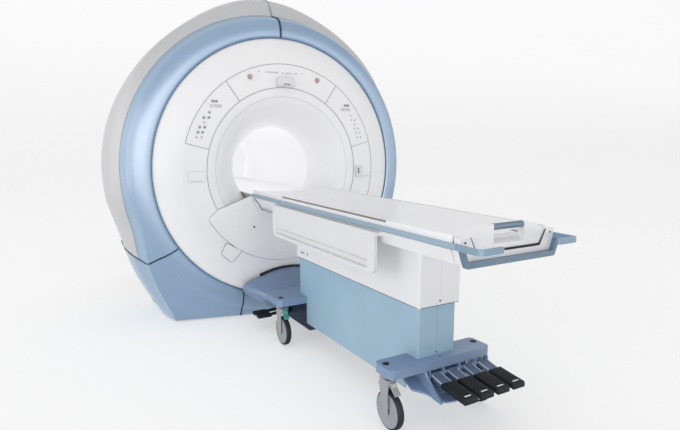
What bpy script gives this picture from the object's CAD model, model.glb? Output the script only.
"""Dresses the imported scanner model: finishes for every solid, seams, keys, screws, pads and a studio."""
import math

import bmesh
import bpy
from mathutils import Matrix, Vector
from mathutils.bvhtree import BVHTree


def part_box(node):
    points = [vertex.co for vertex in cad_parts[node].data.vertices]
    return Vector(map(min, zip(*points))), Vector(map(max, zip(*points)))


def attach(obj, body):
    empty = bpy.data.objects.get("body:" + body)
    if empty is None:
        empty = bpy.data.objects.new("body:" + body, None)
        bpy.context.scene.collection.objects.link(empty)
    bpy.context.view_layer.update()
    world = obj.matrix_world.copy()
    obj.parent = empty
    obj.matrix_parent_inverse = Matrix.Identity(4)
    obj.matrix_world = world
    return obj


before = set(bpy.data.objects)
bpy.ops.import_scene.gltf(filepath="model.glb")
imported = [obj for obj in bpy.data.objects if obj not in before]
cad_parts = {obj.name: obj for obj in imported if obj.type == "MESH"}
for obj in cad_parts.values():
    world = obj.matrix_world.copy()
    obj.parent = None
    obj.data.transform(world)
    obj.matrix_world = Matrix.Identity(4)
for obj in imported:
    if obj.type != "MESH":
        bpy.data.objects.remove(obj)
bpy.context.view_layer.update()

bl_info = {
    "name": "Patient Scanner Dressing",
    "version": (1, 0, 0),
    "blender": (4, 5, 0),
    "location": "View3D > Sidebar > Scanner",
    "description": "Finishes, seams, keys and trim for a docked patient scanner",
    "category": "Object",
}

DEPTH = 0.95              # the face plane lies this far in front of the magnet's centre
AXIS_Z = 1.07             # height of the bore axis
LEFT_RIGHT = (("left", -1.0), ("right", 1.0))
SCANNER = "scanner"
BASE = "table_base"
TOP = "table_top"
SPOTS = ("front_left", "front_right", "rear_left", "rear_right")


# ------------------------------------------------------------------ sizes and colours a user may change
def length(name, description, default):
    return bpy.props.FloatProperty(name=name, description=description, default=default, min=0.0,
                                   unit="LENGTH", subtype="DISTANCE", precision=4)


def colour(name, description, default):
    return bpy.props.FloatVectorProperty(name=name, description=description, default=default, min=0.0,
                                         max=1.0, size=3, subtype="COLOR")


class ScannerCoverSettings(bpy.types.PropertyGroup):
    shell: colour("Rear shell", "Moulded cover behind the ring", (0.53, 0.53, 0.54))
    ring: colour("Ring", "Blue ring and lower corner panels", (0.225, 0.350, 0.515))
    face: colour("Face", "White face and bore lining", (0.875, 0.875, 0.885))
    seal: colour("Seal", "Cord in the grooves between panels", (0.022, 0.04, 0.085))
    line: colour("Line", "Fine joint lines on the face", (0.20, 0.19, 0.215))
    seal_radius: length("Seal radius", "Radius of the cord in the panel grooves", 0.0066)
    rim: colour("Rim seal", "Cord between the face and the ring", (0.10, 0.19, 0.31))
    soft_seal: colour("Soft seal", "Cord in the grooves round the shell", (0.30, 0.33, 0.37))
    line_radius: length("Line radius", "Radius of the fine joint lines", 0.0017)
    rim_radius: length("Rim radius", "Radius of the cord between face and ring", 0.0046)


class ScannerControlSettings(bpy.types.PropertyGroup):
    key_teal: colour("Teal keys", "Colour of most keys", (0.12, 0.25, 0.23))
    key_grey: colour("Grey keys", "Colour of the quiet keys", (0.16, 0.17, 0.19))
    stop: colour("Stop buttons", "Mushroom buttons", (0.36, 0.16, 0.19))
    key_radius: length("Key radius", "Radius of a key cap", 0.0095)
    collar_radius: length("Collar radius", "Outer radius of a stop button's collar", 0.0190)


class ScannerTableSettings(bpy.types.PropertyGroup):
    white: colour("White mouldings", "Frame, cradle and upper column", (0.80, 0.80, 0.82))
    rail: colour("Rails", "Side rails of the table", (0.262, 0.372, 0.47))
    handle: colour("Handles", "Push handles", (0.165, 0.275, 0.385))
    bumper: colour("Bumper", "Foot bumper and cradle grip", (0.095, 0.165, 0.25))
    arm: colour("Pedal arms", "Painted arms of the foot pedals", (0.070, 0.115, 0.20))
    column: colour("Lower column", "Painted lower column cover", (0.31, 0.47, 0.60))
    chassis: colour("Chassis", "Painted chassis", (0.185, 0.275, 0.43))
    hood: colour("Hood", "Docking hood", (0.165, 0.245, 0.385))
    rubber: colour("Rubber", "Pads and bands", (0.008, 0.010, 0.015))
    tyre: colour("Tyre", "Tread of the casters", (0.012, 0.016, 0.026))
    disc: colour("Wheel disc", "Plastic disc of the casters", (0.29, 0.295, 0.33))
    screw_radius: length("Screw radius", "Radius of the cover screws", 0.0052)
    pad_skin: length("Pad skin", "Rubber over the pedal pads", 0.0012)


class ScannerStageSettings(bpy.types.PropertyGroup):
    lens: bpy.props.FloatProperty(name="Lens", description="Focal length of the camera in millimetres",
                                  default=28.384, min=5.0, unit="CAMERA")
    floor: colour("Floor", "Pale floor and backdrop", (0.52, 0.52, 0.52))


# ------------------------------------------------------------------ small helpers
def covers():
    return bpy.context.scene.scanner_covers


def controls():
    return bpy.context.scene.scanner_controls


def trim():
    return bpy.context.scene.scanner_table


def at(x, y, z):
    """A point given from the face plane, in the row frame."""
    return Vector((x, y - DEPTH, z))


def on_face(radius, degrees, y):
    a = math.radians(degrees)
    return at(radius * math.cos(a), y, AXIS_Z + radius * math.sin(a))


def linked(name, mesh):
    made = bpy.data.objects.new(name, mesh)
    bpy.context.scene.collection.objects.link(made)
    return made


def mesh_of(name, points, faces):
    mesh = bpy.data.meshes.new(name)
    mesh.from_pydata([tuple(p) for p in points], [], faces)
    mesh.update()
    return mesh


def outward(mesh):
    """Joins doubles and turns every face outwards."""
    form = bmesh.new()
    form.from_mesh(mesh)
    bmesh.ops.remove_doubles(form, verts=form.verts, dist=1e-6)
    bmesh.ops.recalc_face_normals(form, faces=form.faces)
    form.to_mesh(mesh)
    form.free()
    return mesh


def dressed(piece, paint, body, smooth_angle=None):
    """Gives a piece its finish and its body."""
    piece.data.materials.clear()
    piece.data.materials.append(finish(paint))
    if smooth_angle is not None:
        piece.data.shade_smooth()
        piece.data.set_sharp_from_angle(angle=math.radians(smooth_angle))
    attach(piece, body)


def baked(piece):
    """Turns a piece with modifiers, or a seed with its tree, into a plain mesh."""
    bpy.context.view_layer.update()
    graph = bpy.context.evaluated_depsgraph_get()
    mesh = bpy.data.meshes.new_from_object(piece.evaluated_get(graph))
    name = piece.name
    old = piece.data
    bpy.data.objects.remove(piece)
    if isinstance(old, bpy.types.Mesh):
        bpy.data.meshes.remove(old)
    mesh.name = name
    return linked(name, mesh)


def plate(name, outline, axis, low, high, paint, body, slot, bevel=0.0, segments=3, smooth_angle=None):
    """A plate with its outline in the two other axes, run from low to high along one; y counts from the face."""
    order = {"x": (2, 0, 1), "y": (0, 2, 1), "z": (0, 1, 2)}[axis]
    points = []
    for level in (low, high):
        for corner in outline:
            raw = (*corner, level)
            points.append(at(*(raw[k] for k in order)))
    n = len(outline)
    faces = [tuple(range(n)), tuple(range(2 * n - 1, n - 1, -1))]
    faces += [(i, (i + 1) % n, n + (i + 1) % n, n + i) for i in range(n)]
    piece = linked(name, outward(mesh_of(name, points, faces)))
    if bevel:
        soft = piece.modifiers.new("edges", "BEVEL")
        soft.width = bevel
        soft.segments = segments
        soft.limit_method = "ANGLE"
        soft.angle_limit = math.radians(35)
        piece = baked(piece)
    dressed(piece, paint, body, smooth_angle)


def rounded_outline(x0, x1, y0, y1, radius):
    """The corners of a rounded rectangle, each drawn in six steps."""
    steps = 6
    out = []
    for cx, cy, start in ((x1 - radius, y1 - radius, 0), (x0 + radius, y1 - radius, 90),
                          (x0 + radius, y0 + radius, 180), (x1 - radius, y0 + radius, 270)):
        for k in range(steps + 1):
            a = math.radians(start + 90.0 * k / steps)
            out.append((cx + radius * math.cos(a), cy + radius * math.sin(a)))
    return out


def turned(name, profiles, centre, axis, sides):
    """One mesh of closed profiles of (radius, height), turned about an axis through the centre."""
    points, faces = [], []
    for profile in profiles:
        base, n = len(points), len(profile)
        for k in range(sides):
            a = 2 * math.pi * k / sides
            for r, h in profile:
                u, v = r * math.cos(a), r * math.sin(a)
                points.append(centre + Vector({"x": (h, u, v), "y": (u, h, v)}[axis]))
        for k in range(sides):
            here, there = base + k * n, base + (k + 1) % sides * n
            for i in range(n):
                j = (i + 1) % n
                faces.append((here + i, here + j, there + j, there + i))
    return linked(name, outward(mesh_of(name, points, faces)))


# ------------------------------------------------------------------ geometry node trees
def new_tree(name, inputs):
    tree = bpy.data.node_groups.new(name, "GeometryNodeTree")
    face = tree.interface
    face.new_socket(name="Geometry", in_out="INPUT", socket_type="NodeSocketGeometry")
    for label, kind, value in inputs:
        face.new_socket(name=label, in_out="INPUT", socket_type=kind).default_value = value
    face.new_socket(name="Finish", in_out="INPUT", socket_type="NodeSocketMaterial")
    face.new_socket(name="Geometry", in_out="OUTPUT", socket_type="NodeSocketGeometry")
    start = tree.nodes.new("NodeGroupInput")
    end = tree.nodes.new("NodeGroupOutput")
    return tree, start, end


def wired(tree, *links):
    for source, target in links:
        tree.links.new(source, target)


def closing(tree, start, end, geometry):
    """Realizes the instances, sets the finish and ends the tree."""
    real = tree.nodes.new("GeometryNodeRealizeInstances")
    paint = tree.nodes.new("GeometryNodeSetMaterial")
    wired(tree, (geometry, real.inputs["Geometry"]), (real.outputs["Geometry"], paint.inputs["Geometry"]),
          (start.outputs["Finish"], paint.inputs["Material"]), (paint.outputs["Geometry"], end.inputs["Geometry"]))


def cord_tree():
    """A round cord along a curve."""
    tree, start, end = new_tree("Seal cord", (
        ("Radius", "NodeSocketFloat", 0.003), ("Step", "NodeSocketFloat", 0.02), ("Sides", "NodeSocketInt", 8)))
    step = tree.nodes.new("GeometryNodeResampleCurve")
    step.mode = "LENGTH"
    ring = tree.nodes.new("GeometryNodeCurvePrimitiveCircle")
    sweep = tree.nodes.new("GeometryNodeCurveToMesh")
    sweep.inputs["Fill Caps"].default_value = True
    given = start.outputs
    wired(tree, (given["Geometry"], step.inputs["Curve"]), (given["Step"], step.inputs["Length"]),
          (given["Radius"], ring.inputs["Radius"]), (given["Sides"], ring.inputs["Resolution"]),
          (step.outputs["Curve"], sweep.inputs["Curve"]), (ring.outputs["Curve"], sweep.inputs["Profile Curve"]))
    closing(tree, start, end, sweep.outputs["Mesh"])
    return tree


def stud_tree():
    """A chamfered disc on every point, standing along the point's aim."""
    tree, start, end = new_tree("Studs", (
        ("Radius", "NodeSocketFloat", 0.005), ("Height", "NodeSocketFloat", 0.002),
        ("Sides", "NodeSocketInt", 20)))
    new, given = tree.nodes.new, start.outputs

    def share_of(value, share):
        node = new("ShaderNodeMath")
        node.operation = "MULTIPLY"
        node.inputs[1].default_value = share
        tree.links.new(value, node.inputs[0])
        return node.outputs[0]

    post = new("GeometryNodeMeshCylinder")
    crown = new("GeometryNodeMeshCone")
    lift = new("ShaderNodeCombineXYZ")
    place = new("GeometryNodeTransform")
    whole = new("GeometryNodeJoinGeometry")
    aim = new("GeometryNodeInputNamedAttribute")
    aim.data_type = "FLOAT_VECTOR"
    aim.inputs["Name"].default_value = "aim"
    turn = new("FunctionNodeAlignRotationToVector")
    turn.axis = "Z"
    set_out = new("GeometryNodeInstanceOnPoints")
    wired(tree, (given["Radius"], post.inputs["Radius"]), (given["Height"], post.inputs["Depth"]),
          (given["Sides"], post.inputs["Vertices"]), (given["Sides"], crown.inputs["Vertices"]),
          (given["Radius"], crown.inputs["Radius Bottom"]),
          (share_of(given["Radius"], 0.78), crown.inputs["Radius Top"]),
          (share_of(given["Height"], 0.35), crown.inputs["Depth"]),
          (share_of(given["Height"], 0.5), lift.inputs["Z"]), (crown.outputs["Mesh"], place.inputs["Geometry"]),
          (lift.outputs["Vector"], place.inputs["Translation"]), (post.outputs["Mesh"], whole.inputs["Geometry"]),
          (place.outputs["Geometry"], whole.inputs["Geometry"]), (aim.outputs["Attribute"], turn.inputs["Vector"]),
          (given["Geometry"], set_out.inputs["Points"]), (whole.outputs["Geometry"], set_out.inputs["Instance"]),
          (turn.outputs["Rotation"], set_out.inputs["Rotation"]))
    closing(tree, start, end, set_out.outputs["Instances"])
    return tree


def bar_tree():
    """A low bar on every point, its sizes given."""
    tree, start, end = new_tree("Bars", (("Size", "NodeSocketVector", (0.01, 0.002, 0.002)),))
    cube = tree.nodes.new("GeometryNodeMeshCube")
    set_out = tree.nodes.new("GeometryNodeInstanceOnPoints")
    wired(tree, (start.outputs["Size"], cube.inputs["Size"]), (start.outputs["Geometry"], set_out.inputs["Points"]),
          (cube.outputs["Mesh"], set_out.inputs["Instance"]))
    closing(tree, start, end, set_out.outputs["Instances"])
    return tree


TREES = {}


def grown(seed, maker, values):
    """Runs a tree on the seed object and returns the result as a plain mesh object."""
    if maker not in TREES:
        TREES[maker] = maker()
    tree = TREES[maker]
    growth = seed.modifiers.new("growth", "NODES")
    growth.node_group = tree
    for item in tree.interface.items_tree:
        if item.item_type == "SOCKET" and item.in_out == "INPUT" and item.name in values:
            growth[item.identifier] = values[item.name]
    return baked(seed)


def path_seed(name, paths):
    """A curve object with one plain run for each list of points."""
    data = bpy.data.curves.new(name, "CURVE")
    data.dimensions = "3D"
    for points, closed in paths:
        run_of = data.splines.new("POLY")
        run_of.points.add(len(points) - 1)
        for spot, point in zip(run_of.points, points):
            spot.co = (*point, 1.0)
        run_of.use_cyclic_u = closed
    return linked(name, data)


def point_seed(name, spots):
    """A mesh of loose points, each with the way it aims."""
    mesh = bpy.data.meshes.new(name)
    mesh.from_pydata([tuple(p) for p, _ in spots], [], [])
    aim = mesh.attributes.new("aim", "FLOAT_VECTOR", "POINT")
    aim.data.foreach_set("vector", [c for _, a in spots for c in a])
    return linked(name, mesh)


def cords(name, paths, radius, paint, body, step=0.012, sides=8):
    piece = grown(path_seed(name, paths), cord_tree,
                  {"Radius": radius, "Step": step, "Sides": sides, "Finish": finish(paint)})
    dressed(piece, paint, body, 50)


def studs(name, spots, radius, height, paint, body, sides=20):
    piece = grown(point_seed(name, spots), stud_tree,
                  {"Radius": radius, "Height": height, "Sides": sides, "Finish": finish(paint)})
    outward(piece.data)
    dressed(piece, paint, body, 30)


def bars(name, spots, size, paint, body):
    piece = grown(point_seed(name, [(p, (0, 0, 1)) for p in spots]), bar_tree,
                  {"Size": size, "Finish": finish(paint)})
    dressed(piece, paint, body)


# ------------------------------------------------------------------ finishes
class Finish:
    """Node material with a few short calls for its parts."""

    def __init__(self, name):
        self.material = bpy.data.materials.new(name)
        self.material.use_nodes = True
        self.nodes = self.material.node_tree.nodes
        self.link = self.material.node_tree.links.new
        self.shader = self.nodes["Principled BSDF"]
        self.place = self.nodes.new("ShaderNodeTexCoord").outputs["Object"]

    def fixed(self, values, node=None):
        for label, value in values.items():
            (node or self.shader).inputs[label].default_value = value

    def wear(self, label, source):
        self.link(source, self.shader.inputs[label])

    def skin(self, paint, rough, normal):
        self.wear("Base Color", paint)
        self.wear("Roughness", rough)
        self.wear("Normal", normal)

    def noise(self, scale, detail=4.0, roughness=0.5):
        node = self.nodes.new("ShaderNodeTexNoise")
        self.fixed({"Scale": scale, "Detail": detail, "Roughness": roughness}, node)
        self.link(self.place, node.inputs["Vector"])
        return node.outputs["Fac"]

    def ramp(self, value, stops):
        node = self.nodes.new("ShaderNodeValToRGB")
        band = node.color_ramp
        while len(band.elements) < len(stops):
            band.elements.new(0.5)
        for element, (position, shade) in zip(band.elements, stops):
            element.position = position
            element.color = (*shade, 1.0)
        self.link(value, node.inputs["Fac"])
        return node.outputs["Color"]

    def mapped(self, value, start, end, low, high, easing="LINEAR"):
        node = self.nodes.new("ShaderNodeMapRange")
        node.interpolation_type = easing
        self.fixed({"From Min": start, "From Max": end, "To Min": low, "To Max": high}, node)
        self.link(value, node.inputs["Value"])
        return node.outputs["Result"]

    def between(self, value, low, high):
        return self.mapped(value, 0.3, 0.7, low, high)

    def axis(self, letter):
        """One coordinate of the place, in the row frame."""
        parts = self.nodes.new("ShaderNodeSeparateXYZ")
        self.link(self.place, parts.inputs["Vector"])
        return parts.outputs[letter]

    def below(self, paint, under):
        """Another colour on what lies under the crossbars and behind the front one."""
        low = self.mapped(self.axis("Z"), 0.2498, 0.2490, 0.0, 1.0)
        behind = self.mapped(self.axis("Y"), -2.45, -2.30, 0.0, 1.0)
        both = self.nodes.new("ShaderNodeMath")
        both.operation = "MULTIPLY"
        self.link(low, both.inputs[0])
        self.link(behind, both.inputs[1])
        mix = self.nodes.new("ShaderNodeMix")
        mix.data_type = "RGBA"
        self.link(both.outputs[0], mix.inputs["Factor"])
        self.link(paint, mix.inputs["A"])
        mix.inputs["B"].default_value = (*under, 1.0)
        self.wear("Specular IOR Level", self.mapped(both.outputs[0], 0.0, 1.0, 0.5, 0.08))
        return mix.outputs["Result"]

    def bump(self, value, distance, strength=1.0, under=None):
        node = self.nodes.new("ShaderNodeBump")
        self.fixed({"Distance": distance, "Strength": strength}, node)
        self.link(value, node.inputs["Height"])
        if under is not None:
            self.link(under, node.inputs["Normal"])
        return node.outputs["Normal"]


def shaded(base, share):
    return tuple(max(0.0, min(1.0, c * share)) for c in base)


def moulding(name, base, roughness, coat=0.25, mottle=0.035, coat_rough=0.12, sheen=0.5):
    """Painted plastic moulding: faint clouding, orange peel and a thin clear coat."""
    f = Finish(name)
    shades = [(0.35, shaded(base, 1.0 - mottle)), (0.65, shaded(base, 1.0 + mottle * 0.6))]
    f.skin(f.ramp(f.noise(2.3, 3.0), shades), f.between(f.noise(60.0, 5.0), roughness - 0.04, roughness + 0.05),
           f.bump(f.noise(140.0, 1.0), 0.00006, 0.3))
    f.fixed({"Specular IOR Level": sheen, "Coat Weight": coat, "Coat Roughness": coat_rough})
    return f.material


def enamel(name, base, roughness=0.38, mottle=0.05, under=None):
    """Powder-painted steel: fine leathery grain and slight clouding, darker underneath when asked."""
    f = Finish(name)
    paint = f.ramp(f.noise(5.0, 4.0), [(0.34, shaded(base, 1.0 - mottle)), (0.66, shaded(base, 1.0 + mottle))])
    if under is not None:
        paint = f.below(paint, under)
    grain = f.bump(f.noise(900.0, 2.0), 0.00008, 0.6)
    f.skin(paint, f.between(f.noise(90.0, 4.0), roughness - 0.05, roughness + 0.07),
           f.bump(f.noise(120.0, 2.0), 0.0001, 0.4, grain))
    f.fixed({"Coat Weight": 0.04, "Coat Roughness": 0.2})
    return f.material


def rubber(name, base, roughness):
    """Moulded rubber: dusty clouding over a pebbled skin."""
    f = Finish(name)
    dust = f.noise(28.0, 6.0, 0.6)
    dusty = tuple(c * 1.4 + lift for c, lift in zip(base, (0.006, 0.006, 0.007)))
    f.skin(f.ramp(dust, [(0.42, base), (0.80, dusty)]), f.between(dust, roughness - 0.08, roughness + 0.12),
           f.bump(f.noise(1300.0, 3.0), 0.0001, 0.7))
    f.fixed({"Specular IOR Level": 0.14})
    return f.material


def steel(name, base, roughness=0.3):
    """Bare steel with a fine turned or drawn grain."""
    f = Finish(name)
    grain = f.noise(380.0, 6.0, 0.7)
    f.skin(f.ramp(grain, [(0.3, shaded(base, 0.86)), (0.7, shaded(base, 1.08))]),
           f.between(grain, roughness - 0.08, roughness + 0.1), f.bump(grain, 0.00004, 0.5))
    f.fixed({"Metallic": 1.0})
    return f.material


def resin(name, base):
    """Cast resin with glass-cloth weave showing through."""
    f = Finish(name)
    f.skin(f.ramp(f.noise(14.0, 6.0), [(0.3, shaded(base, 0.8)), (0.7, shaded(base, 1.1))]),
           f.between(f.noise(50.0), 0.4, 0.6), f.bump(f.noise(500.0, 2.0), 0.0002, 0.6))
    return f.material


MADE = {}


def recipes():
    """Maker, name, colour and further values of every finish."""
    c, k, t = covers(), controls(), trim()
    return {
        "shell": (moulding, "Shell moulding", c.shell, 0.50, 0.05, 0.04),
        "ring": (moulding, "Ring moulding", c.ring, 0.42, 0.75, 0.04, 0.28),
        "face": (moulding, "Face moulding", c.face, 0.55, 0.03, 0.02, 0.12, 0.2),
        "panel": (moulding, "Control panel moulding", shaded(c.face, 0.985), 0.5, 0.05, 0.02, 0.12, 0.2),
        "fitting": (moulding, "Fitting plastic", (0.62, 0.62, 0.64), 0.45, 0.05, 0.05),
        "seal": (rubber, "Seal rubber", c.seal, 0.45),
        "rim": (rubber, "Rim seal rubber", c.rim, 0.45),
        "soft_seal": (rubber, "Soft seal rubber", c.soft_seal, 0.45),
        "slot": (rubber, "Slot lining", (0.24, 0.20, 0.195), 0.5),
        "arm_edge": (enamel, "Pedal arm edge", (0.42, 0.50, 0.62), 0.36),
        "line": (rubber, "Joint line", c.line, 0.5),
        "soft_line": (rubber, "Soft joint line", (0.46, 0.46, 0.49), 0.5),
        "magnet": (enamel, "Magnet paint", (0.55, 0.56, 0.57)),
        "coil": (resin, "Coil resin", (0.42, 0.38, 0.28)),
        "steel": (steel, "Turned steel", (0.55, 0.55, 0.56)),
        "stop": (moulding, "Stop button", k.stop, 0.3, 0.5, 0.06),
        "stop_collar": (moulding, "Stop collar", (0.60, 0.54, 0.56), 0.4, 0.1, 0.05),
        "key_teal": (moulding, "Teal key", k.key_teal, 0.35, 0.3, 0.08),
        "key_grey": (moulding, "Grey key", k.key_grey, 0.4, 0.2, 0.08),
        "glass": (moulding, "Dark glass", (0.02, 0.022, 0.03), 0.1, 0.8, 0.1),
        "white": (moulding, "Table moulding", t.white, 0.38, 0.2, 0.025),
        "column_white": (moulding, "Column moulding", shaded(t.white, 1.04), 0.45, 0.03, 0.025, 0.12, 0.2),
        "board": (moulding, "Arm board moulding", shaded(t.white, 0.89), 0.42, 0.1, 0.025),
        "board_line": (rubber, "Arm board groove", (0.56, 0.56, 0.58), 0.5),
        "rail": (moulding, "Rail plastic", t.rail, 0.42, 0.15, 0.05),
        "handle": (moulding, "Handle plastic", t.handle, 0.42, 0.15, 0.05),
        "bumper": (moulding, "Bumper plastic", t.bumper, 0.42, 0.1, 0.05),
        "column": (enamel, "Column paint", t.column, 0.36, 0.03),
        "chassis": (enamel, "Chassis paint", t.chassis, 0.38, 0.05, (0.014, 0.028, 0.060)),
        "hood": (enamel, "Hood paint", t.hood),
        "under": (enamel, "Underside paint", (0.020, 0.036, 0.075)),
        "pedal_arm": (enamel, "Pedal arm paint", t.arm),
        "rubber": (rubber, "Pad rubber", t.rubber, 0.5),
        "tyre": (rubber, "Tyre rubber", t.tyre, 0.55),
        "disc": (moulding, "Wheel disc plastic", t.disc, 0.42, 0.1, 0.08),
        "fork": (enamel, "Fork paint", (0.31, 0.31, 0.35), 0.4),
        "tab": (moulding, "Brake tab plastic", (0.33, 0.385, 0.37), 0.4, 0.1, 0.05),
        "mark": (moulding, "Pale mark", (0.80, 0.82, 0.85), 0.3, 0.3, 0.03),
        "green": (moulding, "Green lever", (0.03, 0.30, 0.24), 0.4, 0.2, 0.1),
        "screw": (steel, "Dark screw", (0.10, 0.10, 0.12), 0.4),
    }


def finish(name):
    """The named finish, made when it is first asked for."""
    if name not in MADE:
        maker, *values = recipes()[name]
        MADE[name] = maker(*values)
    return MADE[name]


def pair(stem):
    return stem + "_left", stem + "_right"


NODE_FINISH = {
    "shell": (*pair("rear_shell"), "rear_cover"),
    "ring": (*pair("ring_panel"), *pair("corner_panel"), "lower_centre_panel"),
    "face": ("front_face", "port_cover", "access_cover", "bore_flare", "bore_tube", "fan_panel", "bore_bridge"),
    "panel": (*pair("control_panel"), "control_panel_top"),
    "fitting": ("bore_camera", "port_socket"),
    "steel": ("lift_post", "lift_ram", "cold_head"),
    "screw": ("fan_screws",),
    "magnet": ("magnet_vessel", "dock_socket"),
    "coil": ("gradient_coil", "body_coil"),
    "stop": pair("estop"),
    "chassis": ("chassis",),
    "hood": ("dock_hood",),
    "pedal_arm": tuple("foot_pedal_%d" % n for n in (1, 2, 3, 4)),
    "rubber": ("dock_band", "dock_pedal_1", "dock_pedal_2"),
    "column": ("lower_column_cover",),
    "white": ("table_frame", "end_cap", "cradle"),
    "column_white": ("upper_column_cover",),
    "board": pair("arm_board"),
    "rail": pair("side_rail"),
    "handle": pair("push_handle"),
    "bumper": ("end_bumper", "cradle_grip"),
    "fork": tuple("caster_fork_" + spot for spot in SPOTS),
    "tyre": tuple("caster_wheel_" + spot for spot in SPOTS),
}


# ------------------------------------------------------------------ surface probing
class Surface:
    """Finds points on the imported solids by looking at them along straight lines."""

    def __init__(self, names):
        points, faces = [], []
        for name in names:
            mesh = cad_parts[name].data
            base = len(points)
            points += [v.co.copy() for v in mesh.vertices]
            faces += [tuple(base + i for i in p.vertices) for p in mesh.polygons]
        self.tree = BVHTree.FromPolygons(points, faces)

    def seen(self, start, way, proud):
        """Point where the line meets the surface, moved back along the line by proud."""
        way = Vector(way).normalized()
        hit = self.tree.ray_cast(Vector(start), way)[0]
        return None if hit is None else hit - way * proud

    def met_along(self, route, y, proud):
        """First point met on the way along a route of (x, z) corners at one depth."""
        for (xa, za), (xb, zb) in zip(route, route[1:]):
            start = at(xa, y, za)
            leg = at(xb, y, zb) - start
            hit = self.tree.ray_cast(start, leg.normalized(), leg.length)[0]
            if hit is not None:
                return hit - leg.normalized() * proud
        return None


def kept(points):
    return [p for p in points if p is not None]


# ------------------------------------------------------------------ operators
class SCANNER_OT_paint_solids(bpy.types.Operator):
    """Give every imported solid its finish"""
    bl_idname = "scanner.paint_solids"
    bl_label = "Paint solids"

    def execute(self, context):
        bare = set(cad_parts)
        for name, nodes in NODE_FINISH.items():
            for node in nodes:
                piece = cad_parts[node]
                piece.data.materials.clear()
                piece.data.materials.append(finish(name))
                bare.discard(node)
        if bare:
            raise RuntimeError("no finish for " + ", ".join(sorted(bare)))
        return {"FINISHED"}


# corners of the seam between ring and corner panel, in x and z
SEAM = ((-0.7155, 0.5928), (-0.947, 0.463), (-1.004, 0.496), (-1.045, 0.532), (-1.400, 0.640))
RING_FRONT = 0.058        # depth at which the ring starts
RING_BACK = 0.200         # depth at which it ends
RING_SWEEP = 0.042        # how much deeper it ends on its lower flank
SWEEP_TOP = 0.900         # heights between which that depth grows
SWEEP_LOW = 0.490
RING_INSIDE_TOP = 1.985   # height of the ring's inner edge over the axis
CORNER_BACK = 0.755       # depth at which the corner panel ends
CORNER_TOP = 0.531
VERTEX_DEPTH = 0.132      # depth at which the seam turns from the front on to the flank
SEAM_END_ANGLE = -29      # the ring's back edge meets that seam here
CENTRE_EDGE = 0.320       # half width of the lower centre panel
CENTRE_TOP = 0.214
FOOT = 0.014              # the seams start this high over the floor
BESIDE_GROOVE = 0.008     # the top cords lie as high as the panels beside their groove
RIDGE_END = 1.876         # depth at which the top seam ends
SHELL_END = 1.8835        # depth of the seam between shell and rear cover
OUTSIDE = 2.0             # where lines start that look at the covers from outside
BEFORE = -0.5             # depth from which lines look at the front
PROUD = 0.3               # share of its radius by which a cord's middle stands proud


def ring_back(z):
    share = (SWEEP_TOP - z) / (SWEEP_TOP - SWEEP_LOW)
    return RING_BACK + RING_SWEEP * min(1.0, max(0.0, share))


def run(start, end, steps):
    return [start + (end - start) * k / (steps - 1) for k in range(steps)]


def ring_edge_path(skin, sign, radius):
    """Between ring and rear shell, from the top down to the corner panel."""
    path = []
    for angle in range(90, SEAM_END_ANGLE - 1, -1):
        x, z = sign * math.cos(math.radians(angle)), math.sin(math.radians(angle))
        middle = at(0.0, ring_back(AXIS_Z + 1.1 * z), AXIS_Z)
        way = Vector((x, 0.0, z))
        path.append(skin.seen(middle + way * OUTSIDE, -way, radius * PROUD))
    return kept(path)


def corner_path(skin, sign, radius):
    """Between ring and corner panel, over the front and back along the flank."""
    proud = radius * PROUD
    route = [(sign * -x, z) for x, z in SEAM]
    (x0, z0), (x1, z1) = route[:2]
    path = []
    for share in run(0.10, 1.0, 40):
        hit = skin.seen(at(x0 + (x1 - x0) * share, BEFORE, z0 + (z1 - z0) * share), (0, 1, 0), proud)
        if hit is not None and hit.y < VERTEX_DEPTH - DEPTH:
            path.append(hit)
    inward = route[::-1][:-1]
    path += [skin.met_along(inward, y, proud) for y in run(VERTEX_DEPTH + 0.006, CORNER_BACK - 0.003, 44)]
    return kept(path)


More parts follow.
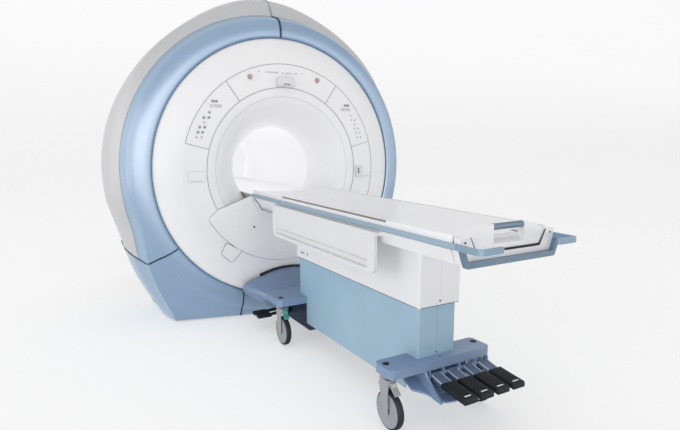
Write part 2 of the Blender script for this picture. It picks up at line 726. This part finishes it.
class SCANNER_OT_panel_seals(bpy.types.Operator):
    """Lay dark cords in the grooves between the cover panels"""
    bl_idname = "scanner.panel_seals"
    bl_label = "Panel seals"

    def execute(self, context):
        r = covers().seal_radius
        proud = r * PROUD

        def laid(name, paths, share, paint):
            cords(name, [(path, False) for path in paths], r * share, paint, SCANNER)

        for side, sign in LEFT_RIGHT:
            skin = Surface(["ring_panel_" + side, "corner_panel_" + side, "rear_shell_" + side])
            laid("ring_back_seal_" + side, [ring_edge_path(skin, sign, r)], 0.8, "soft_seal")
            behind = [skin.seen(at(sign * OUTSIDE, CORNER_BACK, z), (-sign, 0, 0), proud)
                      for z in run(FOOT, CORNER_TOP, 34)]
            low = Surface(["corner_panel_" + side, "lower_centre_panel"])
            beside = [low.seen(at(sign * CENTRE_EDGE, BEFORE, z), (0, 1, 0), proud)
                      for z in run(FOOT, CENTRE_TOP, 20)]
            laid("panel_seals_" + side, [corner_path(skin, sign, r), kept(behind), kept(beside)], 1.0, "seal")
        top = Surface(["ring_panel_left", "ring_panel_right", "rear_shell_left", "rear_shell_right"])

        def ridge(start, end, steps):
            return kept(top.seen(at(BESIDE_GROOVE, y, 3.0), (0, 0, -1), 0.0) for y in run(start, end, steps))

        over = ridge(RING_FRONT, RING_BACK - 0.002, 24)
        front = kept(top.seen(at(BESIDE_GROOVE, BEFORE, z), (0, 1, 0), 0.0)
                     for z in run(RING_INSIDE_TOP, over[0].z - 0.002, 16))
        shell_ridge = ridge(RING_BACK + 0.006, RIDGE_END, 90)
        for point in front + over + shell_ridge:
            point.x = 0.0
        laid("ring_ridge_seal", [front + over], 1.2, "seal")
        laid("shell_ridge_seal", [shell_ridge], 1.1, "soft_seal")
        back = Surface(["rear_shell_left", "rear_shell_right", "rear_cover"])
        hoop = []
        for k in range(150):
            a = math.radians(-52.0 + 284.0 * k / 149)
            way = Vector((math.cos(a), 0.0, math.sin(a)))
            hoop.append(back.seen(at(0.0, SHELL_END, AXIS_Z) + way * OUTSIDE, -way, proud))
        laid("rear_seal", [kept(hoop)], 0.8, "soft_seal")
        return {"FINISHED"}


def arc(radius, a0, a1, y, steps):
    return [on_face(radius, a0 + (a1 - a0) * k / steps, y) for k in range(steps + 1)]


PANEL_OUTER, PANEL_INNER = 0.7265, 0.567     # radii of the ring that holds the control panels
PANEL_ENDS = (165.0, 125.4, 55.4, 15.6)      # angles of the panels' ends
FAN_RADIUS = 0.6515                          # lower edge of the fan panel
FAN = ((-0.255, 0.9015), (-0.5056, 0.8145), (-0.5655, 0.7560))
COVER = ((-0.452, 0.584), (-0.489, 0.509), (-0.416, 0.439), (-0.338, 0.514))
COVER_MIDDLE = (-0.424, 0.5115)


class SCANNER_OT_face_lines(bpy.types.Operator):
    """Draw the fine joint lines of the face and the cord round it"""
    bl_idname = "scanner.face_lines"
    bl_label = "Face lines"

    def execute(self, context):
        c = covers()
        lines = [(arc(PANEL_OUTER, 165.0, -24.0, 0.0, 170), False), (arc(PANEL_INNER, 218.0, -38.0, 0.0, 220), False)]
        for angle in PANEL_ENDS:
            ends = [on_face(radius, angle, -0.0004) for radius in (PANEL_INNER + 0.002, PANEL_OUTER - 0.001)]
            lines.append((ends, False))
        cords("face_joint_lines", lines, c.line_radius, "line", SCANNER)
        start = math.degrees(math.atan2(0.755 - AXIS_Z, -0.564)) % 360.0
        fan = [at(x, 0.0, z) for x, z in FAN] + arc(FAN_RADIUS, start, 540.0 - start, 0.0, 90)
        fan += [at(-x, 0.0, z) for x, z in (FAN[1], FAN[0])]
        patch = [at(x, -0.0004, z) for x, z in COVER]
        middle = at(COVER_MIDDLE[0], 0.0, COVER_MIDDLE[1])
        face = Surface(["front_face", "access_cover"])
        fringe = []
        for i in range(4):
            for k in range(1, 12):
                p = patch[i].lerp(patch[(i + 1) % 4], k / 12)
                outer = p + (p - middle).normalized() * 0.0015
                fringe.append(face.seen((outer.x, -2.0, outer.z), (0, 1, 0), 0.0))
        cords("cover_joint_lines", [(fan, False), (kept(fringe), True)], c.line_radius, "line",
              SCANNER)
        cords("flare_crease", [(arc(0.506, 0.0, 357.0, 0.0078, 150), True)], 0.0011, "soft_line",
              SCANNER)
        cords("face_rim_seal", [(arc(0.9085, 0.0, 359.0, 0.0575, 240), True)], c.rim_radius, "rim",
              SCANNER)
        return {"FINISHED"}


# place and kind of each key on the left panel
KEYS = ((-0.538, 1.457, "grey"), (-0.576, 1.423, "teal"), (-0.543, 1.423, "grey"), (-0.5755, 1.392, "faint"),
        (-0.605, 1.361, "grey"), (-0.573, 1.361, "grey"), (-0.618, 1.3295, "teal"), (-0.588, 1.3295, "teal"),
        (-0.628, 1.296, "faint"), (-0.596, 1.296, "faint"))


TOWARDS_FOOT = (0.0, -1.0, 0.0)
# first place and number of the dashes in each group over the bore
DASHES = ((-0.188, 1), (-0.132, 8), (-0.014, 1), (0.016, 4), (0.074, 3), (0.138, 1))


class SCANNER_OT_keys(bpy.types.Operator):
    """Set the coloured caps and small marks on the control panels"""
    bl_idname = "scanner.keys"
    bl_label = "Key caps"

    def execute(self, context):
        k = controls()
        rows = {"teal": [], "grey": [], "faint": []}
        for x, z, kind in KEYS:
            rows[kind].append((at(x, -0.0028, z), TOWARDS_FOOT))
            rows["faint"].append((at(-x, -0.0028, z), TOWARDS_FOOT))
        for kind, share, height, paint in (("teal", 1.0, 0.0024, "key_teal"), ("grey", 0.9, 0.0022, "key_grey"),
                                           ("faint", 0.7, 0.0022, "soft_line")):
            studs(kind + "_keys", rows[kind], k.key_radius * share, height, paint, SCANNER)
        marks, blocks = [], []
        for _, sign in LEFT_RIGHT:
            marks += [at(sign * (0.526 - 0.0165 * n), -0.0024, 1.499) for n in range(5)]
            blocks += [at(sign * x, -0.0024, 1.529) for x in (0.513, 0.489)]
        dashes = [at(x + 0.0115 * n, -0.0012, 1.736) for x, count in DASHES for n in range(count)]
        for name, spots, size, paint in (
                ("panel_marks", marks, (0.0090, 0.0012, 0.0200), "soft_line"),
                ("panel_blocks", blocks, (0.0220, 0.0012, 0.0150), "key_grey"),
                ("top_panel_marks", dashes, (0.0075, 0.0012, 0.010), "soft_line")):
            bars(name, spots, size, paint, SCANNER)
        return {"FINISHED"}


class SCANNER_OT_stop_collars(bpy.types.Operator):
    """Put a collar round each stop button"""
    bl_idname = "scanner.stop_collars"
    bl_label = "Stop collars"

    def execute(self, context):
        outer = controls().collar_radius
        ring = [(0.0148, -0.0008), (outer, -0.0008), (outer, -0.0030), (outer - 0.0012, -0.0044),
                (0.0160, -0.0044), (0.0148, -0.0032)]
        for side, sign in LEFT_RIGHT:
            piece = turned("stop_collar_" + side, [ring], at(sign * 0.254, 0.0, 1.698), "y", 48)
            dressed(piece, "stop_collar", SCANNER, 30)
        return {"FINISHED"}


class SCANNER_OT_face_fittings(bpy.types.Operator):
    """Add the lens, the socket's slot and the port cover's line and edge"""
    bl_idname = "scanner.face_fittings"
    bl_label = "Face fittings"

    def execute(self, context):
        for name, rectangle, low, high, paint in (
                ("camera_window", (-0.027, 0.027, 1.6515, 1.6625, 0.004), -0.0415, -0.0390, "glass"),
                ("socket_slot", (0.5965, 0.6095, 1.0205, 1.0655, 0.003), -0.0150, -0.0128, "glass"),
                ("port_cover_line", (-0.6795, -0.5945, 1.0115, 1.0135, 0.0009), -0.0006, 0.0002, "line")):
            plate(name, rounded_outline(*rectangle), "y", low, high, paint, SCANNER, "band_black")
        edge = [at(x, -0.0004, z) for x, z in ((-0.694, 1.003), (-0.580, 1.003), (-0.580, 1.074), (-0.694, 1.074))]
        cords("port_cover_edge", [(edge, True)], 0.0011, "soft_line", SCANNER, 0.01, 6)
        return {"FINISHED"}


class SCANNER_OT_cover_screws(bpy.types.Operator):
    """Set the screws of the rear cover, the column covers and the end cap"""
    bl_idname = "scanner.cover_screws"
    bl_label = "Cover screws"

    def execute(self, context):
        r = trim().screw_radius
        back = []
        for angle in range(-48, 229, 23):
            radius = 0.93 if -20 < angle < 200 else 0.97
            x = radius * math.cos(math.radians(angle)) * 0.93
            z = AXIS_Z + (radius * math.sin(math.radians(angle))) * (1.03 if angle > 0 else 0.98)
            back.append((at(x, 1.9015, z), (0.0, 1.0, 0.0)))
        upper = [(at(0.0, -1.6746, 0.5577), TOWARDS_FOOT)]
        low = [(at(0.0, -1.6578, 0.306), TOWARDS_FOOT), (at(0.0, -1.684, 0.2930), (0.0, 0.0, 1.0))]
        plugs = [(at(sign * 0.231, -2.0660, 0.9175), TOWARDS_FOOT) for _, sign in LEFT_RIGHT]
        for name, spots, radius, height, paint, body, slot in (
                ("rear_cover_screws", back, r * 1.3, 0.0026, "screw", SCANNER, "screw_steel"),
                ("upper_column_screws", upper, r, 0.002, "screw", TOP, "screw_steel"),
                ("lower_column_screws", low, r, 0.002, "screw", BASE, "screw_steel"),
                ("end_cap_plugs", plugs, r * 0.8, 0.0018, "rubber", TOP, "band_black")):
            studs(name, spots, radius, height, paint, body)
        return {"FINISHED"}


# left half of the gap below the cradle's handle, in x and z
HANDLE_GAP = ((-0.2045, 0.9335), (-0.2005, 0.9280), (-0.1925, 0.9100), (-0.1705, 0.8710))
# linkage beside the head end of the table, in y and z
LATCH_ROD = ((-0.034, 0.8885), (-0.046, 0.8790), (-0.132, 0.8470), (-0.186, 0.8180), (-0.226, 0.8240))
LATCH_STRUT = ((-0.200, 0.8320), (-0.200, 0.8180), (-0.300, 0.8120), (-0.420, 0.8160), (-0.420, 0.8300),
               (-0.300, 0.8270))
LATCH_HANGER = ((-0.420, 0.8160), (-0.420, 0.8690), (-0.408, 0.8690), (-0.404, 0.8170))
# upper column's outline just over its lower edge, in x and y
COLUMN_EDGE = ((-0.1238, -1.662), (-0.1238, -0.434), (-0.1100, -0.4198), (0.1100, -0.4198), (0.1238, -0.434),
               (0.1238, -1.662), (0.1100, -1.6747), (-0.1100, -1.6747))


class SCANNER_OT_table_lines(bpy.types.Operator):
    """Line the table's slots, gaps and column and hang the linkage beside its head end"""
    bl_idname = "scanner.table_lines"
    bl_label = "Table lines"

    def execute(self, context):
        slot = [(-1.593, 0.9290), (-0.494, 0.9290), (-0.494, 0.9385), (-1.593, 0.9385)]
        for side, sign in LEFT_RIGHT:
            plate("cradle_slot_strip_" + side, slot, "x", *sorted((sign * 0.2506, sign * 0.2518)), "slot", TOP,
                  "band_black")
        gap = [at(x, -2.0650, z) for x, z in HANDLE_GAP + tuple((-x, z) for x, z in reversed(HANDLE_GAP))]
        foot = [at(x, -2.0650, 0.8735) for x in (-0.1700, 0.1700)]
        cords("handle_gap_strip", [(gap, False)], 0.0022, "rubber", TOP, 0.01, 8)
        cords("handle_gap_foot", [(foot, False)], 0.0042, "rubber", TOP, 0.01, 10)
        for side, sign in LEFT_RIGHT:
            lines = [([at(sign * 0.2901, y, z) for y in (-1.498, -0.492)], False) for z in (0.7125, 0.7475)]
            cords("arm_board_lines_" + side, lines, 0.0034, "board_line", "arm_" + side)
            rod = [at(sign * 0.2585, y, z) for y, z in LATCH_ROD]
            cords("latch_rod_" + side, [(rod, False)], 0.0032, "screw", TOP, 0.01, 8)
            for name, outline in (("latch_strut_", LATCH_STRUT), ("latch_hanger_", LATCH_HANGER)):
                plate(name + side, outline, "x", *sorted((sign * 0.2545, sign * 0.2600)), "fork", TOP, "fork_grey",
                      0.0015, 2)
        edge = [at(x, y, 0.5368) for x, y in COLUMN_EDGE]
        cords("column_edge_line", [(edge, True)], 0.0013, "seal", TOP, 0.02, 6)
        dashes = [at(-0.1238, -0.488 - 0.0135 * n, 0.5750) for n in range(4)]
        bars("column_marks", dashes, (0.0012, 0.0090, 0.0110), "key_grey", TOP)
        bars("column_mark_tall", [at(-0.1238, -0.577, 0.5750)], (0.0012, 0.0100, 0.0190), "stop", TOP)
        plate("head_end_trim", rounded_outline(-0.252, 0.252, 0.8955, 0.9035, 0.003), "y", -0.0265, -0.0225, "rail",
              TOP, "rail_blue")
        return {"FINISHED"}


STEM_X, STEM_TOP = 0.264, 0.2935
STEM_Y = {"front": -1.626, "rear": -0.4746}
# side view of a brake tab, in y from the stem and z
TAB = ((-0.0460, 0.2345), (-0.0615, 0.2225), (-0.0675, 0.2058), (-0.0940, 0.1840), (-0.0938, 0.1765),
       (-0.0905, 0.1765), (-0.0915, 0.1822), (-0.0655, 0.2042), (-0.0595, 0.2210), (-0.0460, 0.2322))
# radius and height over the tyre's side for the points of a wheel disc
DISC = ((0.0185, -0.0026), (0.0690, -0.0026), (0.0690, -0.0001), (0.0790, -0.0001), (0.0790, 0.0010),
        (0.0745, 0.0018), (0.0660, 0.0003), (0.0300, 0.0003), (0.0240, 0.0014), (0.0185, 0.0008))
BOSS_CIRCLE = 0.047


class SCANNER_OT_caster_trim(bpy.types.Operator):
    """Build wheel discs, stem caps and brake tabs"""
    bl_idname = "scanner.caster_trim"
    bl_label = "Caster trim"

    def execute(self, context):
        caps = []
        for spot in SPOTS:
            low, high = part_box("caster_wheel_" + spot)
            centre = (low + high) / 2
            half = (high.x - low.x) / 2
            body = "wheel_" + spot
            rims = [[(radius, sign * (half + height)) for radius, height in DISC] for sign in (-1.0, 1.0)]
            dressed(turned("wheel_disc_" + spot, rims, centre, "x", 72), "disc", body, 25)
            bosses = []
            for k in range(6):
                a = 2 * math.pi * k / 6
                for sign in (-1.0, 1.0):
                    offset = (sign * (half + 0.0003), BOSS_CIRCLE * math.cos(a), BOSS_CIRCLE * math.sin(a))
                    bosses.append((centre + Vector(offset), (sign, 0.0, 0.0)))
            studs("disc_bosses_" + spot, bosses, 0.0072, 0.0016, "disc", body, 18)
            end, side = spot.split("_")
            hand = -STEM_X if side == "left" else STEM_X
            caps.append((at(hand, STEM_Y[end], STEM_TOP), (0.0, 0.0, 1.0)))
            plate("brake_tab_" + spot, [(STEM_Y[end] + y, z) for y, z in TAB], "x", hand - 0.0155, hand + 0.0155,
                  "green" if spot == "rear_left" else "tab", "fork_" + spot, "fork_grey", 0.0006, 2)
        studs("stem_caps", caps, 0.0155, 0.0028, "rubber", BASE, 32)
        return {"FINISHED"}


PEDAL_X, PEDAL_Y, PEDAL_Z = -0.052, -1.712, 0.226
PEDAL_PITCH = 0.096
PAD_LENGTH, PAD_WIDTH, PAD_DROP = 0.152, 0.070, 0.014
APRON = ((0.0885, 0.158), (0.180, 0.158), (0.212, 0.190), (0.212, 0.2505), (0.0885, 0.2505))
# side view of the sheet under the pedals, which carries on the guard's foot
SHEET = ((-1.640, 0.205), (-1.700, 0.176), (-1.770, 0.150), (-1.836, 0.145), (-1.836, 0.152), (-1.772, 0.158),
         (-1.704, 0.184), (-1.644, 0.213))


class SCANNER_OT_pedal_pads(bpy.types.Operator):
    """Cover the pedals with ribbed rubber pads and close the space under them"""
    bl_idname = "scanner.pedal_pads"
    bl_label = "Pedal pads"

    def execute(self, context):
        skin = trim().pad_skin
        start, end = PEDAL_Y - 0.084, PEDAL_Y - 0.084 - PAD_LENGTH
        plate("pedal_apron", APRON, "y", -1.6380, -1.6320, "under", BASE, "chassis_blue", 0.001, 2)
        for part, low_x, high_x, outline in (("near", -0.0118, 0.095, SHEET),
                                             ("far", 0.0952, 0.150, SHEET[:2] + SHEET[-2:])):
            plate("pedal_sheet_" + part, outline, "x", low_x, high_x, "chassis", BASE, "chassis_blue", 0.0015, 2)
        z, drop = PEDAL_Z, PAD_DROP
        side = [(start + skin, z - 0.022 - skin), (start + skin, z - 0.003), (start - 0.007, z + 0.001 + skin),
                (end + 0.005, z + 0.001 + skin - drop), (end - skin, z - 0.004 - drop),
                (end - skin, z - 0.022 - drop - skin)]
        arm = [(PEDAL_Y - 0.012, z + 0.0079), (PEDAL_Y - 0.040, z + 0.0009), (start, z - 0.0078)]
        lip = [(y, h - 0.004) for y, h in arm] + [(y, h + 0.004) for y, h in reversed(arm)]
        half = PAD_WIDTH / 2 + skin
        for i in range(4):
            x = PEDAL_X + PEDAL_PITCH * i
            number = "_%d" % (i + 1)
            body = "pedal" + number
            plate("pedal_pad" + number, side, "x", x - half, x + half, "rubber", body, "pedal_black", 0.0028, 3, 40)
            ribs = [at(x, start - PAD_LENGTH * t, z + 0.0013 + skin - drop * t) for t in run(0.09, 0.76, 14)]
            bars("pedal_ribs" + number, ribs, (0.054, 0.0028, 0.0016), "rubber", body)
            tip = rounded_outline(x - 0.018, x + 0.018, end + 0.0200, end + 0.0270, 0.0025)
            plate("pedal_tip_mark" + number, tip, "z", z - 0.0118 + skin * 0.5, z - 0.0103 + skin, "mark", body,
                  "face_white")
            for hand, low_x in (("left", x - 0.0285), ("right", x + 0.0255)):
                plate("pedal_lip_" + hand + number, lip, "x", low_x, low_x + 0.003, "arm_edge", body, "chassis_blue",
                      0.0008, 2)
        return {"FINISHED"}


PAPER_SPAN, PAPER_NEAR, PAPER_BEND, PAPER_RADIUS, PAPER_TOP = 40.0, -30.0, 6.0, 8.0, 30.0
BEND_STEPS = 24
WORLD_STRENGTH = 0.69
# name, place, aim, size and power of the soft lights
SOFTBOXES = (("left_softbox", (-9.5, -3.6, 3.1), (0.0, -0.8, 1.2), (5.0, 4.2), 150.0),
             ("top_softbox", (-0.5, -2.6, 6.0), (0.0, -1.0, 0.5), (5.0, 4.0), 34.0),
             ("bore_glow", (0.0, 1.3, 1.07), (0.0, -1.0, 1.07), (0.5, 0.5), 2.6))
# name, place, aim, width and strength of pale walls that only show as sheen on the covers
WALLS = (("left", (-5.5, -1.5), (0.0, -1.5), 9.0, 7.0), ("front", (-3.3, -7.7), (-0.9, -0.9), 8.0, 20.0),
         ("front_right", (2.7, -7.4), (0.0, -0.9), 7.0, 8.0), ("right", (6.2, -4.2), (0.9, -0.9), 5.0, 5.0))
WALL_BANDS = (("tall", 4.8), ("low", 2.2))       # the two overlap, so the walls are brighter at eye height
CAMERA = (-1.5945, -4.4433, 1.3031)
CAMERA_YAW, CAMERA_PITCH = 0.5289, -0.1459


def aimed(made, place, way):
    made.location = place
    made.rotation_euler = way.to_track_quat("-Z", "Y").to_euler()
    bpy.context.scene.collection.objects.link(made)
    return made


def light(kind, name, place, target, power, **values):
    data = bpy.data.lights.new(name, kind)
    data.energy = power
    for key, value in values.items():
        setattr(data, key, value)
    return aimed(bpy.data.objects.new(name, data), place, Vector(target) - Vector(place))


def softbox(name, place, target, size, power):
    return light("AREA", name, place, target, power, shape="RECTANGLE", size=size[0], size_y=size[1])


class SCANNER_OT_studio(bpy.types.Operator):
    """Build the pale studio, its lights and the camera"""
    bl_idname = "scanner.studio"
    bl_label = "Studio"

    def execute(self, context):
        s = context.scene.scanner_stage
        paper = Finish("Studio paper")
        paper.wear("Base Color", paper.ramp(paper.noise(1.0, 2.0), [(0.3, shaded(s.floor, 0.995)), (0.7, s.floor)]))
        paper.fixed({"Roughness": 0.9, "Specular IOR Level": 0.1, "Emission Color": (1.0, 1.0, 1.0, 1.0)})
        paper.wear("Emission Strength", paper.mapped(paper.axis("Z"), 0.0, 5.0, 0.47, 0.56, "SMOOTHSTEP"))
        line = [(PAPER_NEAR, 0.0), (PAPER_BEND, 0.0)]
        for k in range(1, BEND_STEPS + 1):
            a = math.radians(90.0 * k / BEND_STEPS)
            line.append((PAPER_BEND + PAPER_RADIUS * math.sin(a), PAPER_RADIUS - PAPER_RADIUS * math.cos(a)))
        line.append((PAPER_BEND + PAPER_RADIUS, PAPER_TOP))
        points = [(x, y, z) for y, z in line for x in (-PAPER_SPAN, PAPER_SPAN)]
        faces = [(2 * k, 2 * k + 1, 2 * k + 3, 2 * k + 2) for k in range(len(line) - 1)]
        sheet = linked("studio_floor", mesh_of("studio_floor", points, faces))
        sheet.data.materials.append(paper.material)
        sheet.data.shade_smooth()
        world = context.scene.world or bpy.data.worlds.new("Studio")
        context.scene.world = world
        world.use_nodes = True
        background = world.node_tree.nodes["Background"]
        background.inputs["Color"].default_value = (1.0, 1.0, 1.0, 1.0)
        background.inputs["Strength"].default_value = WORLD_STRENGTH
        for values in SOFTBOXES:
            lamp = softbox(*values)
            lamp.visible_camera = values[0] != "bore_glow"       # it would show through the bore
        for name, (x, y), (aim_x, aim_y), width, strength in WALLS:
            for band, height in WALL_BANDS:
                card = softbox("%s_wall_%s" % (name, band), (x, y, 1.8), (aim_x, aim_y, 1.4), (width, height),
                               strength * width * height)
                card.visible_diffuse = False
        light("SPOT", "bore_spot", (0.7, -3.5, 1.45), (0.0, -0.8, 1.1), 10.0, spot_size=math.radians(26.0),
              spot_blend=0.6, shadow_soft_size=0.4)
        for n, y in enumerate((-0.62, -0.25, 0.15)):
            lamp = light("POINT", "bore_lamp_%d" % n, (0.0, y, 1.18), (0.0, y, 0.0), 0.56, shadow_soft_size=0.1)
            lamp.visible_camera = False
        data = bpy.data.cameras.new("photo_camera")
        data.lens = s.lens
        data.sensor_width = 36.0
        way = Vector((math.sin(CAMERA_YAW) * math.cos(CAMERA_PITCH), math.cos(CAMERA_YAW) * math.cos(CAMERA_PITCH),
                      math.sin(CAMERA_PITCH)))
        context.scene.camera = aimed(bpy.data.objects.new("photo_camera", data), CAMERA, way)
        context.scene.view_settings.view_transform = "Standard"
        return {"FINISHED"}


STEPS = (SCANNER_OT_paint_solids, SCANNER_OT_panel_seals, SCANNER_OT_face_lines, SCANNER_OT_keys,
         SCANNER_OT_stop_collars, SCANNER_OT_face_fittings, SCANNER_OT_cover_screws, SCANNER_OT_table_lines,
         SCANNER_OT_caster_trim, SCANNER_OT_pedal_pads, SCANNER_OT_studio)
GROUPS = (ScannerCoverSettings, ScannerControlSettings, ScannerTableSettings, ScannerStageSettings)


class SCANNER_PT_dressing(bpy.types.Panel):
    """Lists the steps that dress the scanner"""
    bl_idname = "SCANNER_PT_dressing"
    bl_label = "Scanner dressing"
    bl_space_type = "VIEW_3D"
    bl_region_type = "UI"
    bl_category = "Scanner"

    def draw(self, context):
        for group in (getattr(context.scene, place) for place in PLACES):
            section = self.layout.box()
            for name in group.__annotations__:
                section.prop(group, name)
        for step in STEPS:
            self.layout.operator(step.bl_idname)


PLACES = ("scanner_covers", "scanner_controls", "scanner_table", "scanner_stage")


def register():
    for group, place in zip(GROUPS, PLACES):
        bpy.utils.register_class(group)
        setattr(bpy.types.Scene, place, bpy.props.PointerProperty(type=group))
    for step in STEPS:
        bpy.utils.register_class(step)
    bpy.utils.register_class(SCANNER_PT_dressing)


def unregister():
    bpy.utils.unregister_class(SCANNER_PT_dressing)
    for step in reversed(STEPS):
        bpy.utils.unregister_class(step)
    for group, place in zip(reversed(GROUPS), reversed(PLACES)):
        delattr(bpy.types.Scene, place)
        bpy.utils.unregister_class(group)


def main():
    register()
    for step in STEPS:
        group, action = step.bl_idname.split(".")
        getattr(getattr(bpy.ops, group), action)()


if __name__ == "__main__":
    main()
